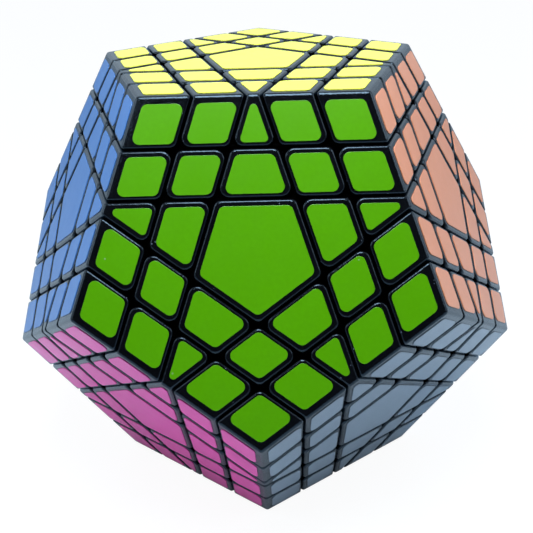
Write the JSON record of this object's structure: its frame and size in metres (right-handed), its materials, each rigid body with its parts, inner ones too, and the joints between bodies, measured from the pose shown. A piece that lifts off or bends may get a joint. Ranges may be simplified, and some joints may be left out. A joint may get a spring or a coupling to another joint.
{
  "type": "dodecahedron twisty puzzle",
  "caption": "Twisty puzzle shaped as a dodecahedron: black cut pieces with coloured stickers on every face, layers that turn about the face axes, held by spring-loaded screws on an inner core.",
  "frame": {"origin": "centre of the dodecahedron, where the axes of all faces cross", "axes": "+Z out of the yellow face, which is up; -Y side is the front, where the green face leans back; -Z out of the cream face that it stands on"},
  "size_m": [0.1202, 0.1262, 0.1028],
  "materials": {
    "black_plastic": "moulded ABS, polished",
    "core_plastic": "moulded nylon",
    "spindle_plastic": "moulded acetal",
    "screw_steel": "zinc-plated steel",
    "spring_steel": "drawn spring wire",
    "sticker_yellow": "vinyl sticker, satin",
    "sticker_green": "vinyl sticker, satin",
    "sticker_orange": "vinyl sticker, satin",
    "sticker_purple": "vinyl sticker, satin",
    "sticker_white": "vinyl sticker, satin",
    "sticker_blue": "vinyl sticker, satin",
    "sticker_dark_green": "vinyl sticker, satin",
    "sticker_red": "vinyl sticker, satin",
    "sticker_pink": "vinyl sticker, satin",
    "sticker_grey": "vinyl sticker, satin",
    "sticker_light_blue": "vinyl sticker, satin",
    "sticker_cream": "vinyl sticker, satin"
  },
  "bodies": {
    "middle_layer": {"caps_middle_layer": "black_plastic", "core": "core_plastic", "corners_middle_layer": "black_plastic", "middle_edges_middle_layer": "black_plastic", "screws": "screw_steel", "spindles": "spindle_plastic", "springs": "spring_steel", "stickers_middle_layer_blue": "sticker_blue", "stickers_middle_layer_dark_green": "sticker_dark_green", "stickers_middle_layer_green": "sticker_green", "stickers_middle_layer_grey": "sticker_grey", "stickers_middle_layer_light_blue": "sticker_light_blue", "stickers_middle_layer_orange": "sticker_orange", "stickers_middle_layer_pink": "sticker_pink", "stickers_middle_layer_purple": "sticker_purple", "stickers_middle_layer_red": "sticker_red", "stickers_middle_layer_white": "sticker_white", "t_centres_middle_layer": "black_plastic", "wing_edges_middle_layer": "black_plastic", "x_centres_middle_layer": "black_plastic"},
    "top_layer": {"caps_top_layer": "black_plastic", "corners_top_layer": "black_plastic", "middle_edges_top_layer": "black_plastic", "stickers_top_layer_blue": "sticker_blue", "stickers_top_layer_green": "sticker_green", "stickers_top_layer_orange": "sticker_orange", "stickers_top_layer_purple": "sticker_purple", "stickers_top_layer_white": "sticker_white", "stickers_top_layer_yellow": "sticker_yellow", "t_centres_top_layer": "black_plastic", "wing_edges_top_layer": "black_plastic", "x_centres_top_layer": "black_plastic"},
    "second_layer": {"stickers_second_layer_blue": "sticker_blue", "stickers_second_layer_green": "sticker_green", "stickers_second_layer_orange": "sticker_orange", "stickers_second_layer_purple": "sticker_purple", "stickers_second_layer_white": "sticker_white", "t_centres_second_layer": "black_plastic", "wing_edges_second_layer": "black_plastic", "x_centres_second_layer": "black_plastic"},
    "fourth_layer": {"stickers_fourth_layer_dark_green": "sticker_dark_green", "stickers_fourth_layer_grey": "sticker_grey", "stickers_fourth_layer_light_blue": "sticker_light_blue", "stickers_fourth_layer_pink": "sticker_pink", "stickers_fourth_layer_red": "sticker_red", "t_centres_fourth_layer": "black_plastic", "wing_edges_fourth_layer": "black_plastic", "x_centres_fourth_layer": "black_plastic"},
    "bottom_layer": {"caps_bottom_layer": "black_plastic", "corners_bottom_layer": "black_plastic", "middle_edges_bottom_layer": "black_plastic", "stickers_bottom_layer_cream": "sticker_cream", "stickers_bottom_layer_dark_green": "sticker_dark_green", "stickers_bottom_layer_grey": "sticker_grey", "stickers_bottom_layer_light_blue": "sticker_light_blue", "stickers_bottom_layer_pink": "sticker_pink", "stickers_bottom_layer_red": "sticker_red", "t_centres_bottom_layer": "black_plastic", "wing_edges_bottom_layer": "black_plastic", "x_centres_bottom_layer": "black_plastic"}
  },
  "joints": [
    {"name": "top_layer_turn", "type": "hinge", "parent": "middle_layer", "child": "top_layer", "pos_m": [0, 0, 0], "axis": [0, 0, 1], "continuous": true},
    {"name": "second_layer_turn", "type": "hinge", "parent": "middle_layer", "child": "second_layer", "pos_m": [0, 0, 0], "axis": [0, 0, 1], "continuous": true},
    {"name": "fourth_layer_turn", "type": "hinge", "parent": "middle_layer", "child": "fourth_layer", "pos_m": [0, 0, 0], "axis": [0, 0, 1], "continuous": true},
    {"name": "bottom_layer_turn", "type": "hinge", "parent": "middle_layer", "child": "bottom_layer", "pos_m": [0, 0, 0], "axis": [0, 0, 1], "continuous": true}
  ]
}
